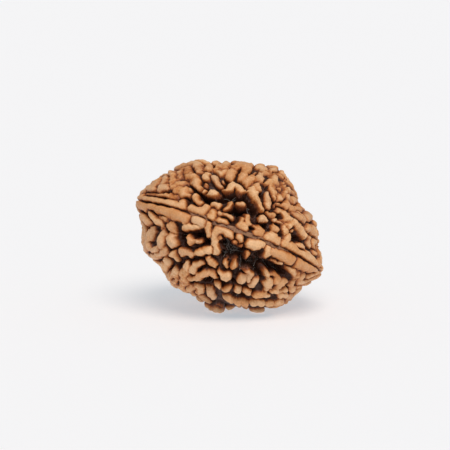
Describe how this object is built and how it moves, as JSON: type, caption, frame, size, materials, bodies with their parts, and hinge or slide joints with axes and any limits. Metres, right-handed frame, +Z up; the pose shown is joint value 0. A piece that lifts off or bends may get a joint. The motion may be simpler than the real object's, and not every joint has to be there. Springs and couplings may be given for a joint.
{
  "type": "rudraksha seed",
  "caption": "Dried rudraksha seed stone with a lobed, deeply furrowed surface and a lipped seam round it, lying on its side.",
  "frame": {"origin": "on the floor, under the centre of the stone's box, as it lies", "axes": "+X along the stone's longest extent, to the right in the picture; +Z up; the picture looks along +Y and a little down"},
  "size_m": [0.0206, 0.0192, 0.0166],
  "materials": {
    "rudraksha_stone": "dry, hard, slightly satin nutshell"
  },
  "bodies": {
    "root": {"rudraksha_stone": "rudraksha_stone"}
  },
  "joints": []
}
